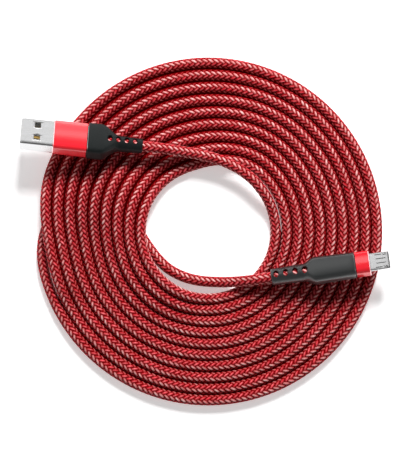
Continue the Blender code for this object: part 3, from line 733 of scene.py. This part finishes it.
def add_boots():
    usb_a = boot_mesh(
        "usb_a_boot_shape", (8.5, 15.5, 20.2), 4.9, relief=(5.8, 5.5), body=(13.7, 6.3), front=(13.7, 6.3),
        body_r=1.3, crown=0.3, chamber=(13.4, 11.8, 5.2), holes=[2.9 + 3.1 * i for i in range(4)],
        hole_size=(1.5, 2.3),
    )
    micro = boot_mesh(
        "micro_boot_shape", (11.8, 16.4, 31.0), 5.5, relief=(6.5, 6.1), body=(10.0, 6.8), front=(9.4, 6.4),
        body_r=1.9, crown=0.5, chamber=(17.0, 7.8, 5.2), holes=[1.9 + 3.55 * i for i in range(4)],
        hole_size=(1.7, 2.6),
    )
    usb_a_look = boot_black("usb_a_black", 0.2, 1.5)
    micro_look = boot_black("micro_black", 1.0, 1.7)
    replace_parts(shown("usb_a_boot_moulded", usb_a, usb_a_look, USB_A), "usb_a_boot")
    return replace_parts(shown("micro_boot_moulded", micro, micro_look, MICRO), "micro_boot")


# ---------------------------------------------------------------- sleeves and shells

SLEEVES = {
    "usb_a_sleeve": {
        "start": 20.4, "end": 33.0, "width": 13.2, "height": 5.8, "radius": 1.0, "wall": 0.5, "crown": 0.5,
    },
    "micro_ring": {
        "start": 31.2, "end": 36.6, "width": 9.0, "height": 6.0, "radius": 1.4, "wall": 0.6, "crown": 0.45,
    },
}
CHAMFER = 0.25  # mm
SLEEVE_SHARP_DEG = 28
BROAD = {"corner": 9, "flat": 14}  # points on each corner and flat of a sleeve's rings
SHEET = {"corner": 6, "flat": 12}  # and of the USB-A shell's
SHELL_ROLL = ((0.6, 0.03), (0.12, 0.07), (0.0, 0.16))  # mm back from the tip, and in from the outside


def sleeve_mesh(name, start, end, width, height, radius, wall, crown):
    """A thin metal tube, in mm, with crowned faces and a bright chamfer round each end."""
    rings = []
    outside = [(start, CHAMFER), (start + CHAMFER, 0.0)]
    outside += [(mix(start + CHAMFER, end - CHAMFER, i / 6), 0.0) for i in range(1, 7)]
    outside += [(end, CHAMFER)]
    for x, less in outside:
        rings.append(ring_at(x * MM, (width - 2 * less) * MM, (height - 2 * crown - 2 * less) * MM,
                             (radius - less) * MM, crown * MM, **BROAD))
    for x in (end, start):
        rings.append(ring_at(x * MM, (width - 2 * wall) * MM, (height - 2 * wall) * MM,
                             max(radius - wall, 0.3) * MM, **BROAD))
    return wrapped(name, rings, sharp=SLEEVE_SHARP_DEG)


def chamfer_faces(mesh, start, end):
    """The faces of the two chamfers take the piece's second material."""
    for face in mesh.polygons:
        x = face.center.x / MM
        near_end = start - 0.01 < x < start + CHAMFER or end - CHAMFER < x < end + 0.01
        if near_end and abs(face.normal.x) > 0.3:
            face.material_index = 1


def add_sleeves():
    made = {}
    for node, sizes in SLEEVES.items():
        mesh = sleeve_mesh(node + "_shape", **sizes)
        plug = USB_A if node.startswith("usb_a") else MICRO
        piece = shown(node + "_anodised", mesh, red_aluminium(), plug)
        mesh.materials.append(bare_edge())
        chamfer_faces(mesh, sizes["start"], sizes["end"])
        made[node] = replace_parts(piece, node)
    return made["micro_ring"]


def window_cutter(x, y, level):
    """A square hole with round corners through one broad face, a little wider at the outside."""
    def ring(z, extra):
        side = (2.3 + extra) * MM
        corners = outline(side, side + 0.1 * MM, 0.25 * MM, corner=4, flat=2)
        return [(x * MM + along, y * MM + across, level * z * MM) for along, across in corners]

    return stack([ring(1.0, 0.0), ring(2.12, 0.0), ring(2.2, 0.06), ring(2.26, 0.22), ring(3.0, 1.5)])


def add_usb_a_shell():
    """The stamped shell: a thin box of sheet with a rolled lip and two windows in each broad face."""
    start, tip, width, height, wall = 24.2, 45.0, 12.0, 4.5, 0.3
    outside = [(start, 0.0)] + [(mix(start, tip - 1.2, i / 8), 0.0) for i in range(1, 9)]
    outside += [(tip - back, less) for back, less in SHELL_ROLL]
    inside = [(tip, 0.22), (tip - 0.5, wall), (start, wall)]
    rings = []
    for stations, radius in ((outside, 0.5), (inside, 0.25)):
        for x, less in stations:
            across, deep = (width - 2 * less) * MM, (height - 2 * less) * MM
            rings.append(ring_at(x * MM, across, deep, radius * MM, **SHEET))
    windows = [window_cutter(tip - 6.0, side * 2.95, level) for side in (-1, 1) for level in (-1, 1)]
    mesh = carved(wrapped("usb_a_shell_shape", rings), windows)
    piece = shown("usb_a_shell_stamped", mesh, plug_steel(), USB_A)
    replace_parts(piece, "usb_a_shell")


def micro_outline(inset):
    """The micro-USB shell's section, flat on top with its lower corners cut away, all edges eased."""
    half_w, half_h, cut = 3.425 - inset, 0.9 - inset, 0.75
    corners = [
        (half_w, half_h, 0.3), (-half_w, half_h, 0.3), (-half_w, -half_h + cut, 0.25),
        (-half_w + cut, -half_h, 0.3), (half_w - cut, -half_h, 0.3), (half_w, -half_h + cut, 0.25),
    ]
    points = []
    for i, (y, z, size) in enumerate(corners):
        here = Vector((y, z))
        before = Vector(corners[i - 1][:2])
        after = Vector(corners[(i + 1) % len(corners)][:2])
        start = here + (before - here).normalized() * size
        end = here + (after - here).normalized() * size
        for k in range(6):
            t = k / 5
            points.append((1 - t) ** 2 * start + 2 * t * (1 - t) * here + t * t * end)
    filled = []
    for a, b in zip(points, points[1:] + points[:1]):
        filled.append(a)
        if (b - a).length > 0.6:
            filled += [a.lerp(b, k / 8) for k in range(1, 8)]
    return [(y * MM, z * MM) for y, z in filled]


def latch_window(y):
    """The opening in the micro-USB shell's top that a latch hook stands in."""
    return block_cutter((41.5 * MM, (y - 0.42) * MM, 0.2 * MM), (42.9 * MM, (y + 0.42) * MM, 1.5 * MM))


def groove_cutter(start, end, y):
    """A shallow pressed line along the micro-USB shell's top, pointed at both ends."""
    top, above = 0.9, 1.1
    rings = []
    for x, half, deep in (
        (start, 0.01, 0.01), (start + 0.4, 0.17, 0.15), (end - 0.4, 0.17, 0.15), (end, 0.01, 0.01),
    ):
        section = ((y - half, above), (y + half, above), (y + half, top), (y, top - deep), (y - half, top))
        rings.append([(x * MM, across * MM, z * MM) for across, z in section])
    return stack(rings)


def add_micro_shell():
    """The stamped shell, with four pressed grooves and an opening for each latch."""
    start, tip, wall = 33.0, 43.9, 0.22
    stations = [(start, 0.0)] + [(mix(start, tip - 0.9, i / 8), 0.0) for i in range(1, 9)]
    stations += [(tip - 0.35, 0.03), (tip - 0.08, 0.07), (tip, 0.13)]
    stations += [(tip, 0.17), (tip - 0.3, wall), (start, wall)]
    rings = [[(x * MM, y, z) for y, z in micro_outline(less)] for x, less in stations]
    cutters = []
    for side in (-1, 1):
        cutters.append(latch_window(side * 2.5))
        cutters.append(groove_cutter(38.4, 41.3, side * 2.5))
        cutters.append(groove_cutter(38.7, 42.7, side * 0.85))
    mesh = carved(wrapped("micro_shell_shape", rings), cutters)
    piece = shown("micro_shell_stamped", mesh, plug_steel(), MICRO)
    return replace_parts(piece, "micro_shell")


# ---------------------------------------------------------------- everything

bpy.context.scene.view_settings.view_transform = "Standard"
add_camera()
cord, core, light_yarns, red_yarns = add_cord()
micro_pieces = [add_boots(), add_sleeves(), add_micro_shell()]
add_usb_a_shell()
finish_cad_nodes()
for name, node in frame["nodes"].items():
    if name.startswith("micro_") and not node.hide_render:
        micro_pieces.append(node)
add_world()
add_floor()
add_area("key", (0.12, 0.77, 0.66), (0.3, 0.3), 16.5, glossy=False)
add_area("softbox", (-0.26, 0.78, 0.73), (0.6, 0.26), 0.5)
